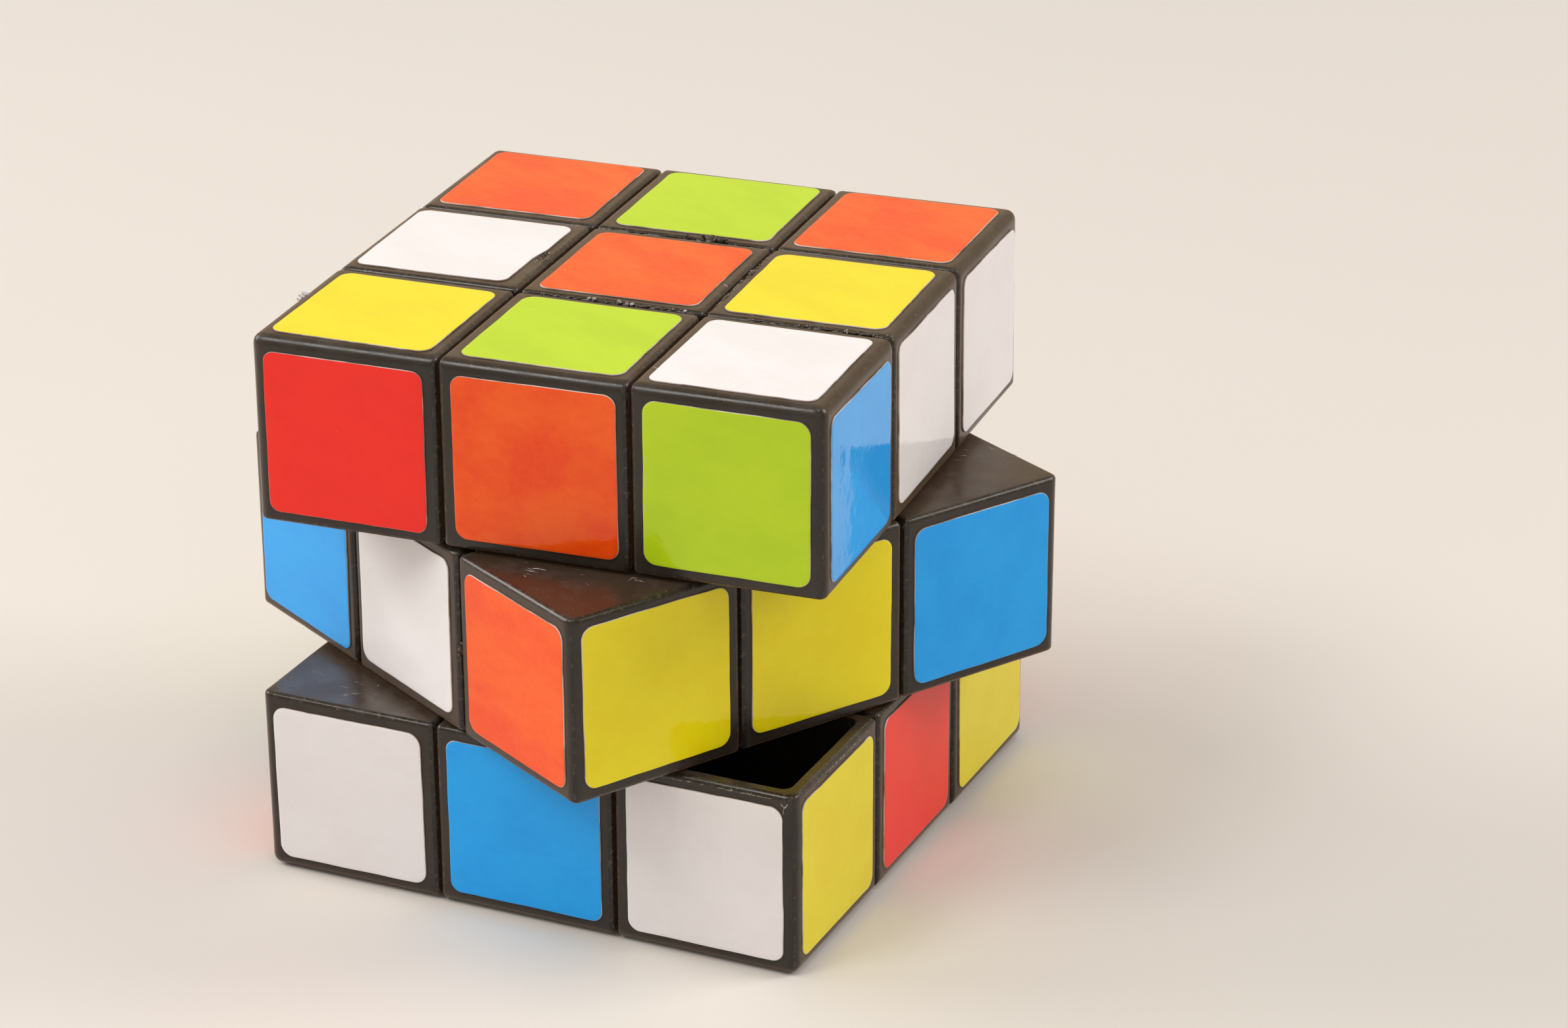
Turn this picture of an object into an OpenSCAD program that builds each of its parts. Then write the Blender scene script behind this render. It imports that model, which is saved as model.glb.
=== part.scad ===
// Twisty puzzle cube, three by three by three, with its top and bottom layers partly turned.
// The core's arms lie along X, Y and Z. Z is up, and z = 0 is the outer face of the
// bottom stickers, under the middle of the cube. All sizes are in millimetres.

/* [Cube] */
// Width of the plastic cube, without its stickers
cube_w = 57; // [54:0.5:62]
// Gap between neighbouring cubies
seam = 0.3; // [0.2:0.05:0.4]
// Wall thickness of the hollow cubies
wall = 1.3; // [1:0.1:1.6]
// Radius along the cube's own edges
edge_round = 1.05; // [0.6:0.05:1.2]
// Radius along the edges where cubies meet
seam_round = 0.55; // [0.3:0.05:0.8]

/* [Turned layers] */
// Turn of the top layer against the middle layer, in degrees
top_turn = 33.7; // [0:0.1:90]
// Turn of the bottom layer against the middle layer, in degrees
bottom_turn = 29.45; // [0:0.05:90]

/* [Mechanism] */
// Radius of the spherical track that the feet slide in
track_r = 21; // [20.6:0.1:21.4]
// Clearance between the feet, and between the feet and the track
track_gap = 0.4; // [0.3:0.05:0.5]
// Distance from the cube's centre planes to the cuts between the feet
foot_cut = 6; // [5.9:0.1:6.3]
// Distance from the cube's centre to the inside of the feet
foot_in_r = 11.5; // [10.5:0.5:12.5]
// Length of the core's arms, from the cube's centre
arm_len = 12; // [11.5:0.25:12.5]
// Radius of the core's arms
arm_r = 3.5; // [3.2:0.1:3.7]
// Radius of the ball where the core's arms meet
core_r = 6.2; // [5.5:0.1:6.5]
// Outer radius of the hub stalks
stalk_r = 5.5; // [5.3:0.1:5.6]
// Thickness of the caps on the centre cubies
cap_t = 2.2; // [1.8:0.1:2.6]

/* [Stickers] */
// Width of a sticker
sticker_w = 16.3; // [15.5:0.1:17]
// Thickness of a sticker
sticker_t = 0.15; // [0.1:0.05:0.3]
// Corner radius of a sticker
sticker_corner = 1.4; // [0.8:0.1:2]

/* [Hidden] */
$fn = 96;
half = cube_w / 2;              // centre plane to the cube's faces
pitch = cube_w / 3;
side = pitch / 2 - seam / 2;    // half width of a cubie in the middle of a row
inner = pitch / 2 + seam / 2;   // centre plane to the near face of an outer cubie
lift = half + sticker_t;        // height of the cube's centre
track_out = track_r + track_gap / 2;
track_in = track_r - track_gap / 2;
foot_near = foot_cut + track_gap / 2;
foot_side = foot_cut - track_gap / 2;
plate_t = 1.2;                  // curved plate that closes a hollow cubie from inside
neck_inset = 0.3;               // the neck's clearance to the walls of its cubie
neck_side = 4;                  // half width of an edge piece's neck
neck_root = 2;                  // depth that a neck runs into its foot
round_steps = 3;                // flat steps in a rounded edge

// Along a centre's axis, from the core out to the cap
stalk_low = 7;
bore_gap = 0.06;                // running clearance round an arm
floor_low = arm_len + 0.3;
floor_t = 1.4;
floor_top = floor_low + floor_t;
well_r = 4.2;
cap_seat = half - cap_t;
tray_floor = track_out + plate_t;
plug_depth = 1.6;
plug_gap = 0.1;
screw_r = 1.4;
screw_gap = 0.05;               // between the core and a screw's thread
hole_gap = 0.2;                 // round a screw in its hub and its washer
screw_low = 4;
head_r = 3.2;
head_t = 1.6;
head_low = 20.2;
slot_w = 0.9;
slot_len = 4;
slot_depth = 0.9;
washer_t = 0.5;
washer_r = 3.9;
part_gap = 0.05;                // between a washer and its neighbours
wire_r = 0.3;
coil_r = 2.9;
coil_turns = 5;
coil_low = floor_top + 0.1 + wire_r;
coil_high = head_low - washer_t - 2 * part_gap - wire_r;
coil_sides = 5;
coil_steps = 9;                 // steps in one turn of a spring

plastic = "#26221f";
core_plastic = "#3a3632";
steel = "#b8babd";

// Places are signs along X, Y and Z: [1, -1, 0] is the front right edge.
SIGNS = [-1, 0, 1];
PLACES = [for (z = SIGNS, y = SIGNS, x = SIGNS) [x, y, z]];
function shown(p) = abs(p[0]) + abs(p[1]) + abs(p[2]);
CENTRES = [for (p = PLACES) if (shown(p) == 1) p];
EDGES = [for (p = PLACES) if (shown(p) == 2) p];
CORNERS = [for (p = PLACES) if (shown(p) == 3) p];
// Cubies whose moulding is open on the side that faces the middle layer
OPEN_CUBIES = [[1, -1, -1], [0, -1, -1]];
function is_open(p) = len([for (q = OPEN_CUBIES) if (q == p) q]) > 0;

LAYERS = [["top", 1, top_turn], ["middle", 0, 0], ["bottom", -1, bottom_turn]];
COLOURS = [
  ["white", "W", "#efe9e6"], ["yellow", "Y", "#e6d22e"], ["orange", "O", "#f2642b"],
  ["red", "R", "#e2382c"], ["green", "G", "#9fc43a"], ["blue", "B", "#3f9ee0"]
];
// One entry a face: the turn that lays the face outward, and its sticker colours in rows
// from the top down, each from left to right, as seen from outside the cube.
FACES = [
  [[0, 0, 0], ["OGO", "WOY", "YGW"]],
  [[90, 0, 0], ["ROG", "BWO", "WBW"]],
  [[90, 0, 90], ["BWW", "YYB", "YRY"]],
  [[90, 0, 180], ["YRR", "WRO", "OGR"]],
  [[90, 0, 270], ["GOB", "RGY", "GBO"]],
  [[180, 0, 0], ["GGB", "RBY", "BWR"]]
];
// The layer of a row of stickers: the face's own layer on the top and bottom faces
function row_layer(face, row) = face[0][0] == 0 ? 1 : face[0][0] == 180 ? -1 : 1 - row;

function word(s, minus, plus) = s < 0 ? [minus] : s > 0 ? [plus] : [];
function join(words, i = 0) =
  i == len(words) - 1 ? words[i] : str(words[i], "_", join(words, i + 1));
function place(p) = join(concat(
  word(p[2], "bottom", "top"), word(p[1], "front", "back"), word(p[0], "left", "right")));

// Puts a layer's pieces at the cube's height, turned as far as the layer is.
module in_layer(z) {
  turn = [for (l = LAYERS) if (l[1] == z) l[2]][0];
  translate([0, 0, lift]) rotate([0, 0, turn]) children();
}

// Mirrors a piece made for the place [1, 1, 1] to the signs of its own place.
module mirrored(p) {
  mirror([p[0] < 0 ? 1 : 0, 0, 0])
    mirror([0, p[1] < 0 ? 1 : 0, 0])
      mirror([0, 0, p[2] < 0 ? 1 : 0]) children();
}

// Moves a piece made for the place [0, 1, 1] to another edge.
module at_edge(p) {
  steps = p[0] == 0 ? 0 : p[1] == 0 ? 1 : 2;
  mirrored(p) rotate(a = 120 * steps, v = [1, 1, 1]) children();
}

// Points a piece made along +Z out along the axis of its own place.
module pointed(p) {
  tilt = p[0] != 0 ? [0, 90 * p[0], 0] : p[1] != 0 ? [-90 * p[1], 0, 0] : [p[2] < 0 ? 180 : 0, 0, 0];
  rotate(tilt) children();
}

module box(low, high) {
  translate(low) cube(high - low);
}

// The radius of the edge where the high sides of a cubie in two axes meet
function far_round(high, a, b) = high[a] >= half && high[b] >= half ? edge_round : seam_round;

// A rectangle with rounded corners. The far corner has a radius of its own.
module round_rect(w, h, far) {
  near = seam_round;
  corners = [[near, near, near], [w - near, near, near], [w - far, h - far, far], [near, h - near, near]];
  polygon([for (k = [0:3], step = [0:round_steps]) let (
      a = 180 + 90 * k + 90 * step / round_steps
    ) [corners[k][0] + corners[k][2] * cos(a), corners[k][1] + corners[k][2] * sin(a)]]);
}

// A box with all twelve edges rounded
module rounded_box(low, high) {
  size = high - low;
  translate(low) intersection() {
    linear_extrude(size[2]) round_rect(size[0], size[1], far_round(high, 0, 1));
    translate([0, size[1], 0]) rotate([90, 0, 0])
      linear_extrude(size[1]) round_rect(size[0], size[2], far_round(high, 0, 2));
    rotate([90, 0, 90]) linear_extrude(size[0]) round_rect(size[1], size[2], far_round(high, 1, 2));
  }
}

// A hollow cubie, cut away inside by the track. Where it is open, its near side in z is
// missing.
module hollow_cubie(low, high, opened) {
  hollow_low = low + wall * [1, 1, 1];
  hollow_high = high - wall * [1, 1, 1];
  difference() {
    rounded_box(low, high);
    box(hollow_low, hollow_high);
    if (opened) box([hollow_low[0], hollow_low[1], low[2] - 1], hollow_high);
    sphere(track_out);
  }
}

// The foot of a cubie, its neck, and the curved plate that closes the cubie's hollow. The
// neck starts at neck_low, and an edge's ends at neck_side along X.
module foot(low, high, cubie_low, cubie_high, neck_low) {
  neck_far = neck_low[0] < 0 ? neck_side : half;
  difference() {
    intersection() {
      box(low, high);
      sphere(track_in);
    }
    sphere(foot_in_r);
  }
  difference() {
    intersection() {
      box(neck_low, [neck_far, half, half]);
      sphere(track_out + plate_t / 2);
    }
    sphere(track_in - neck_root);
  }
  difference() {
    intersection() {
      box(cubie_low + wall * [1, 1, 1], cubie_high - wall * [1, 1, 1]);
      sphere(track_out + plate_t);
    }
    sphere(track_out);
  }
}

module corner_shell(p) {
  color(plastic) in_layer(p[2]) mirrored(p)
    hollow_cubie(inner * [1, 1, 1], half * [1, 1, 1], is_open(p));
}

module edge_shell(p) {
  color(plastic) in_layer(p[2]) at_edge(p)
    hollow_cubie([-side, inner, inner], [side, half, half], is_open(p));
}

module corner_foot(p) {
  neck_near = inner + wall + neck_inset;
  in_layer(p[2]) mirrored(p)
    foot(foot_near * [1, 1, 1], track_r * [1, 1, 1],
         inner * [1, 1, 1], half * [1, 1, 1], neck_near * [1, 1, 1]);
}

module edge_foot(p) {
  neck_near = inner + wall + neck_inset;
  in_layer(p[2]) at_edge(p)
    foot([-foot_side, foot_near, foot_near], [foot_side, track_r, track_r],
         [-side, inner, inner], [side, half, half], [-neck_side, neck_near, neck_near]);
}

module corner_feet(z) {
  color(core_plastic) for (p = CORNERS) if (p[2] == z) corner_foot(p);
}

module edge_feet(z) {
  color(core_plastic) for (p = EDGES) if (p[2] == z) edge_foot(p);
}

module centre_block() {
  rounded_box([-side, -side, inner], [side, side, half]);
}

// A centre cubie's body: a stalk that turns on an arm of the core, under a square tray
module centre_hub(p) {
  color(plastic) in_layer(p[2]) pointed(p) difference() {
    union() {
      difference() {
        centre_block();
        box([-pitch, -pitch, cap_seat], [pitch, pitch, half + 1]);
        sphere(track_out);
      }
      translate([0, 0, stalk_low]) cylinder(r = stalk_r, h = tray_floor - stalk_low);
    }
    box([wall - side, wall - side, tray_floor], [side - wall, side - wall, half]);
    translate([0, 0, floor_top]) cylinder(r = well_r, h = half);
    cylinder(r = screw_r + hole_gap, h = half);
    cylinder(r = arm_r + bore_gap, h = floor_low);
  }
}

// The cap of a centre cubie, with a plug that fits inside the tray
module centre_cap(p) {
  plug_half = side - wall - plug_gap;
  color(plastic) in_layer(p[2]) pointed(p) union() {
    difference() {
      centre_block();
      box([-pitch, -pitch, 0], [pitch, pitch, cap_seat]);
    }
    box([-plug_half, -plug_half, cap_seat - plug_depth], [plug_half, plug_half, cap_seat + 1]);
  }
}

module core() {
  color(core_plastic) in_layer(0) difference() {
    union() {
      sphere(core_r);
      for (p = CENTRES) pointed(p) cylinder(r = arm_r, h = arm_len);
    }
    for (p = CENTRES) pointed(p) translate([0, 0, screw_low])
      cylinder(r = screw_r + screw_gap, h = arm_len);
  }
}

module core_screws() {
  color(steel) in_layer(0) for (p = CENTRES) pointed(p) difference() {
    union() {
      translate([0, 0, screw_low]) cylinder(r = screw_r, h = head_low - screw_low + head_t / 2);
      translate([0, 0, head_low]) cylinder(r = head_r, h = head_t);
    }
    for (turn = [0, 90]) rotate([0, 0, turn])
      box([-slot_len / 2, -slot_w / 2, head_low + head_t - slot_depth],
          [slot_len / 2, slot_w / 2, head_low + head_t + 1]);
  }
}

module spring_washers() {
  color(steel) in_layer(0) for (p = CENTRES) pointed(p)
    translate([0, 0, head_low - part_gap - washer_t]) difference() {
      cylinder(r = washer_r, h = washer_t);
      translate([0, 0, -1]) cylinder(r = screw_r + hole_gap, h = washer_t + 2);
    }
}

// One round of points of the spring's wire, at a step along its coil
function wire_ring(step, steps) = let (
    turn = 360 * step / coil_steps,
    z = coil_low + (coil_high - coil_low) * step / steps
  ) [for (i = [0:coil_sides - 1]) let (
      a = 360 * i / coil_sides,
      r = coil_r + wire_r * cos(a)
    ) [r * cos(turn), r * sin(turn), z + wire_r * sin(a)]];

module coil_spring() {
  steps = coil_turns * coil_steps;
  points = [for (step = [0:steps]) each wire_ring(step, steps)];
  skin = [for (step = [0:steps - 1], i = [0:coil_sides - 1]) let (
      a = step * coil_sides + i,
      b = step * coil_sides + (i + 1) % coil_sides
    ) [a, a + coil_sides, b + coil_sides, b]];
  ends = [
    [for (i = [0:coil_sides - 1]) i],
    [for (i = [0:coil_sides - 1]) (steps + 1) * coil_sides - 1 - i]
  ];
  polyhedron(points, concat(skin, ends));
}

module centre_springs() {
  color(steel) in_layer(0) for (p = CENTRES) pointed(p) coil_spring();
}

// The outline of a sticker: a square with each corner rounded in four steps
module sticker_outline() {
  mid = sticker_w / 2 - sticker_corner;
  polygon([for (quarter = [0:3], step = [0:4]) let (
      a = 90 * quarter + 90 * step / 4,
      x = quarter == 0 || quarter == 3 ? mid : -mid,
      y = quarter < 2 ? mid : -mid
    ) [x + sticker_corner * cos(a), y + sticker_corner * sin(a)]]);
}

// All stickers of one colour on one layer
module stickers(layer, colour) {
  color(colour[2]) in_layer(layer[1])
    for (face = FACES, row = [0:2], column = [0:2])
      if (row_layer(face, row) == layer[1] && face[1][row][column] == colour[1])
        rotate(face[0]) translate([pitch * (column - 1), pitch * (1 - row), half])
          linear_extrude(sticker_t) sticker_outline();
}

core();
core_screws();
centre_springs();
spring_washers();
for (p = CENTRES) centre_hub(p);
for (p = CENTRES) centre_cap(p);
for (p = EDGES) edge_shell(p);
for (p = CORNERS) corner_shell(p);
corner_feet(1);  // corner_feet_top
edge_feet(1);  // edge_feet_top
edge_feet(0);  // edge_feet_middle
edge_feet(-1);  // edge_feet_bottom
corner_feet(-1);  // corner_feet_bottom
for (l = LAYERS, c = COLOURS)
  stickers(l, c);
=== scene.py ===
"""Looks of the twisty puzzle cube: rounded hollow cubies, vinyl stickers, springs, materials,
lights and camera. Everything is in metres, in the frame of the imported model."""
import math
import random

import bmesh
import bpy
from mathutils import Euler, Matrix, Vector, noise


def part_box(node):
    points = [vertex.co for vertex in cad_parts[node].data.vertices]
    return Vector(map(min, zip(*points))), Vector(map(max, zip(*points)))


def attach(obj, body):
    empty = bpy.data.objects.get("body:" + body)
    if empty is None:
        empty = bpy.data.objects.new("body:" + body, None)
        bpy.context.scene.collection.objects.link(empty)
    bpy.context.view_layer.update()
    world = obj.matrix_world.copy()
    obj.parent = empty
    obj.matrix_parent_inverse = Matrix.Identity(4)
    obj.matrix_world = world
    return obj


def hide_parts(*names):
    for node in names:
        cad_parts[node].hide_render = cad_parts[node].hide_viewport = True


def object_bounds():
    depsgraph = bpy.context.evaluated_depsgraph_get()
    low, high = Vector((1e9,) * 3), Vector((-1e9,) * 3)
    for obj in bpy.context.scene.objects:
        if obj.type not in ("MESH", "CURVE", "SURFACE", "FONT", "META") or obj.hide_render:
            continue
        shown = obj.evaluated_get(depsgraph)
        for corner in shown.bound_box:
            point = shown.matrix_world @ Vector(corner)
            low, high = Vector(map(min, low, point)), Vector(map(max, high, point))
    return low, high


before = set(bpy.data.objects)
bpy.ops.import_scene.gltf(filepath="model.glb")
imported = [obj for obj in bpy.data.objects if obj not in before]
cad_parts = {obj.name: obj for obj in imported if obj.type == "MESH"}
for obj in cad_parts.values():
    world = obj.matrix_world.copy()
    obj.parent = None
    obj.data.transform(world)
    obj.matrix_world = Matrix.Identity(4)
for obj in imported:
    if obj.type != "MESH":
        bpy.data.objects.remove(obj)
cad_low, cad_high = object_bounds()
noise.seed_set(1)                               # noise_vector is seeded by the clock otherwise

MM = 0.001
LIFT = (cad_low.z + cad_high.z) / 2             # height of the cube's centre
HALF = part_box("centre_cap_top")[1].z - LIFT     # centre to the plastic faces
STICKER_T = cad_high.z - LIFT - HALF
PITCH = 2 * HALF / 3
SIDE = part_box("edge_shell_front_right")[1].z - LIFT    # half width of a cubie mid-row
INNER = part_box("edge_shell_front_right")[0].x          # near face of an outer cubie
CAP_SEAT = HALF - 2.2 * MM                      # seam between a centre's hub and its cap
CAP_GAP = 0.03 * MM                             # between the two
TOP_TURN, BOTTOM_TURN = math.radians(33.7), math.radians(29.45)
TRACK = 21.2 * MM                               # radius of the cut that clears the feet
STALK_R, STALK_LOW = 5.5 * MM, 7 * MM           # a hub's stalk, and its end near the core
ARM_BORE_R, ARM_BORE_TOP = 3.56 * MM, 12.3 * MM # the bore in it for an arm of the core
WELL_R, WELL_LOW = 4.2 * MM, 13.7 * MM          # the well in it for spring, washer and head
SCREW_HOLE_R = 1.6 * MM
SPRING_R, WIRE_R, SPRING_TURNS = 2.9 * MM, 0.3 * MM, 5
SPRING_LOW, SPRING_HIGH = 14.1 * MM, 19.25 * MM
WALL = 1.3 * MM
ROOM_R = 0.9 * MM                               # rounding inside a hollow cubie
RIM_R = 0.3 * MM                                # bevel inside the rims of the open cubies
GRID = 1.3 * MM                                 # cells of the cubies' outer faces
SEAM_R, OUTER_R = 0.55 * MM, 1.05 * MM          # radii along the seams and the cube's edges
CUBE_EDGE = HALF - 0.1 * MM                     # sides beyond this are outer faces of the cube
SHARP = math.radians(28)                        # edges bent by more than this get painted shade and look a little worn
STICKER_W, STICKER_CORNER = 16.3 * MM, 1.2 * MM
WAVY, WAVY_WHITE = 0.022 * MM, 0.032 * MM       # how far from flat a sticker's face is
TORN_STICKER = "sticker 0 1 0"                  # top face, middle row, left column
FLOOR_Z = -0.05 * MM                            # the cubies' play leaves the cube this low

LAYERS = {1: "top", 0: "middle", -1: "bottom"}
TURNS = {1: TOP_TURN, 0: 0.0, -1: BOTTOM_TURN}
OPEN_CUBIES = [(1, -1, -1), (0, -1, -1)]
# Each face: the turns about X and Z that lay it outward, and its colours in rows from the
# top down, left to right, as seen from outside.
FACES = [
    (0, 0, ["OGO", "WOY", "YGW"]),
    (90, 0, ["ROG", "BWO", "WBW"]),
    (90, 90, ["BWW", "YYB", "YRY"]),
    (90, 180, ["YRR", "WRO", "OGR"]),
    (90, 270, ["GOB", "RGY", "GBO"]),
    (180, 0, ["GGB", "RBY", "BWR"]),
]
COLOUR_NAMES = {"W": "white", "Y": "yellow", "O": "orange", "R": "red", "G": "green", "B": "blue"}


# ---------------------------------------------------------------- places of the cubies

def place_name(place):
    """The name that the CAD nodes use for a place, such as top_front_left."""
    words = [("bottom", "top")[place[2] > 0]] if place[2] else []
    words += [("front", "back")[place[1] > 0]] if place[1] else []
    words += [("left", "right")[place[0] > 0]] if place[0] else []
    return "_".join(words)


def layer_matrix(z):
    """Takes a layer from the middle of a square cube at the origin to its turned place."""
    return Matrix.Translation((0, 0, LIFT)) @ Matrix.Rotation(TURNS[z], 4, "Z")


def place_matrix(place):
    """Takes a piece made at (1, 1, 1), (0, 1, 1) or (0, 0, 1) to its own place in its layer.
    The axes are passed round by some steps, and then mirrored where the place is negative."""
    shown = sum(map(abs, place))
    if shown == 3:
        steps = 0
    elif shown == 2:
        steps = place.index(0)
    else:
        steps = (place.index(1) if 1 in place else place.index(-1)) + 1
    turn = Matrix.Identity(4)
    for row in range(3):
        turn[row] = [1.0 if column == (row - steps) % 3 else 0.0 for column in range(3)] + [0.0]
    signs = [-1 if s < 0 else 1 for s in place]
    return Matrix.Diagonal(signs + [1]) @ turn


def slack_matrix(place):
    """The small tilt and shift that play in the mechanism leaves a cubie with."""
    rng = random.Random("cubie %d %d %d" % place)
    angles = [math.radians(rng.uniform(-0.2, 0.2)) for _ in range(3)]
    shift = Vector([rng.uniform(-0.04, 0.04) * MM for _ in range(3)])
    centre = Vector(place) * PITCH
    tilt = Euler(angles).to_matrix().to_4x4()
    return Matrix.Translation(centre + shift) @ tilt @ Matrix.Translation(-centre)


# ---------------------------------------------------------------- mesh building

def mesh_object(name, vertices, faces):
    """A new object in the scene with the given mesh."""
    mesh = bpy.data.meshes.new(name)
    mesh.from_pydata([tuple(v) for v in vertices], [], faces)
    made = bpy.data.objects.new(name, mesh)
    bpy.context.scene.collection.objects.link(made)
    return made


def face_out(made):
    """Turns all faces outward."""
    bm = bmesh.new()
    bm.from_mesh(made.data)
    bmesh.ops.recalc_face_normals(bm, faces=bm.faces)
    bm.to_mesh(made.data)
    bm.free()
    return made


def with_modifier(made, kind, **settings):
    """Applies one modifier to an object's mesh."""
    modifier = made.modifiers.new("step", kind)
    for key, value in settings.items():
        setattr(modifier, key, value)
    graph = bpy.context.evaluated_depsgraph_get()
    result = bpy.data.meshes.new_from_object(made.evaluated_get(graph))
    made.modifiers.clear()
    old = made.data
    made.data = result
    bpy.data.meshes.remove(old)
    return made


def rounded_box(name, low, high, radius, outer=0.0, segments=3):
    """A closed box with rounded edges. outer, if given, is the radius along the cube's edges.
    Corner k of the box lies at its high side along axis a where bit a of k is set."""
    corners = [[(low, high)[k >> a & 1][a] for a in range(3)] for k in range(8)]
    faces = [[0, 2, 3, 1], [4, 5, 7, 6], [0, 1, 5, 4], [2, 6, 7, 3], [0, 4, 6, 2], [1, 3, 7, 5]]
    made = mesh_object(name, corners, faces)
    widest = max(radius, outer)
    weights = made.data.attributes.new("bevel_weight_edge", "FLOAT", "EDGE").data
    for edge, weight in zip(made.data.edges, weights):
        one, two = edge.vertices
        at_high = [a for a in range(3) if (one & two) >> a & 1 and high[a] > CUBE_EDGE]
        weight.value = (outer if outer and len(at_high) == 2 else radius) / widest
    return with_modifier(made, "BEVEL", limit_method="WEIGHT", width=widest, segments=segments,
                         use_clamp_overlap=False)


def sliced(made, low, high, step):
    """Cuts the faces of a mesh into cells about one step wide."""
    bm = bmesh.new()
    bm.from_mesh(made.data)
    for axis in range(3):
        count = round((high[axis] - low[axis]) / step)
        across = Vector([float(a == axis) for a in range(3)])
        for k in range(1, count):
            at = across * (low[axis] + (high[axis] - low[axis]) * k / count)
            geometry = bm.verts[:] + bm.edges[:] + bm.faces[:]
            bmesh.ops.bisect_plane(bm, geom=geometry, plane_co=at, plane_no=across, dist=1e-7)
    bm.to_mesh(made.data)
    bm.free()
    return made


def lathe(name, profile, sides):
    """A closed solid turned about Z from (radius, height) points that start and end on the axis."""
    vertices = [Vector((0, 0, profile[0][1]))]
    for r, z in profile[1:-1]:
        for k in range(sides):
            a = 2 * math.pi * k / sides
            vertices.append(Vector((r * math.cos(a), r * math.sin(a), z)))
    vertices.append(Vector((0, 0, profile[-1][1])))
    rings, last = len(profile) - 2, len(vertices) - 1
    faces = []
    for k in range(sides):
        n = (k + 1) % sides
        faces.append([0, 1 + n, 1 + k])
        for ring in range(rings - 1):
            a, b = 1 + ring * sides, 1 + (ring + 1) * sides
            faces.append([a + k, a + n, b + n, b + k])
        top = 1 + (rings - 1) * sides
        faces.append([top + k, top + n, last])
    return face_out(mesh_object(name, vertices, faces))


def rod(name, radius, low, high, sides=48):
    """A round rod along Z."""
    return lathe(name, [(0, low), (radius, low), (radius, high), (0, high)], sides)


def ball(name, radius, sides=96):
    """A ball at the origin."""
    rings = sides // 2
    arc = [(radius * math.sin(math.pi * k / rings), -radius * math.cos(math.pi * k / rings))
           for k in range(rings + 1)]
    return lathe(name, arc, sides)


def combine(made, other, operation):
    """Applies one boolean to made, and removes other."""
    with_modifier(made, "BOOLEAN", operation=operation, solver="EXACT", object=other)
    bpy.data.objects.remove(other)


def soften(made, width, segments=2):
    """Rounds the sharp edges that cuts left."""
    with_modifier(made, "BEVEL", width=width, segments=segments, limit_method="ANGLE",
                  angle_limit=math.radians(50), use_clamp_overlap=True)


def mark_wear_and_shade(made, low, high, opened=False):
    """Stores how near each vertex is to a rounded or cut edge, for the painted shade and worn look
    there. The inside of a cubie and the rim of an open one count as such an edge."""
    low, high = Vector(low), Vector(high)
    centre, size = (low + high) / 2, (high - low) / 2
    rim = low.z + 0.1 * MM
    bm = bmesh.new()
    bm.from_mesh(made.data)
    values = []
    for v in bm.verts:
        past = sorted(max(0.0, abs(v.co[a] - centre[a]) - size[a] + SEAM_R) for a in range(3))
        bent = min(1.0, past[1] / (0.3 * SEAM_R))
        sharp = any(e.is_manifold and e.calc_face_angle() > SHARP for e in v.link_edges)
        inside = all(abs(v.co[a] - centre[a]) < size[a] - WALL / 2 for a in range(3))
        # cut edges, the inside of a cubie and the rim of an open one get painted shade
        dark = sharp or inside or (opened and v.co.z < rim)
        values.append(max(bent, 0.5 if dark else 0.0))
    bm.free()
    made.data.attributes.new("wear_and_shade", "FLOAT", "POINT").data.foreach_set("value", values)
    return made


def as_piece(name, template, place, body, node, material, slack=True):
    """A copy of a template at its place, a little uneven, that stands for a CAD node."""
    made = bpy.data.objects.new(name, template.data.copy())
    bpy.context.scene.collection.objects.link(made)
    turn = place_matrix(place)
    made.data.transform(turn)
    if turn.determinant() < 0:
        made.data.flip_normals()
    if slack:
        make_uneven(made.data)
        add_marks(made.data, name)
        made.data.transform(slack_matrix(place))
    made.data.transform(layer_matrix(place[2]))
    made.data.shade_smooth()
    made.data.materials.clear()
    made.data.materials.append(material)
    weighted_normals(made)
    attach(made, body)
    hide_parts(node)


def make_uneven(mesh):
    """Shallow sink marks on the flats, and small dings along the rounded edges."""
    wear_and_shade = mesh.attributes["wear_and_shade"].data
    normals = [v.normal.copy() for v in mesh.vertices]
    for v, n, w in zip(mesh.vertices, normals, wear_and_shade):
        sink = noise.noise(v.co / (7 * MM)) * 0.02 * MM
        ding = min(0.0, noise.noise(v.co / (1.3 * MM)) + 0.15) * 0.06 * MM * w.value
        v.co += n * (sink + ding)


def add_bead(bm, wear_and_shade, start, end, radius, seed, tone=2.0, ragged=1.0):
    """A ragged bead of flash or glue from start to end, thin where its noise is low."""
    start, end = Vector(start) * MM, Vector(end) * MM
    sides, step = 6, 0.14 * MM
    along = end - start
    count = max(6, round(along.length / step))
    across = along.orthogonal().normalized()
    other = along.normalized().cross(across)
    offset = Vector((random.Random(seed).uniform(0, 90),) * 3)
    loops = []
    for k in range(count + 1):
        share = k / count
        at = start + along * share
        rough = noise.noise(at / (0.5 * MM) + offset) + 0.6 * noise.noise(at / (1.9 * MM) - offset)
        size = radius * MM * max(0.06, 0.45 + ragged * rough) * math.sin(math.pi * share) ** 0.3
        drift = noise.noise_vector(at / (0.6 * MM) - offset) * radius * MM * 0.5 * ragged
        loop = []
        for j in range(sides):
            a = 2 * math.pi * j / sides
            outward = across * math.cos(a) + other * math.sin(a)
            bulge = size * (1 + 0.35 * ragged * noise.noise(at / (0.2 * MM) + Vector((j, 0, 0))))
            loop.append(bm.verts.new(at + drift + outward * bulge))
            loop[-1][wear_and_shade] = tone
        loops.append(loop)
    for one, two in zip(loops, loops[1:]):
        for j in range(sides):
            n = (j + 1) % sides
            bm.faces.new((one[j], one[n], two[n], two[j]))
    bm.faces.new(loops[0][::-1])
    bm.faces.new(loops[-1])


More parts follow.
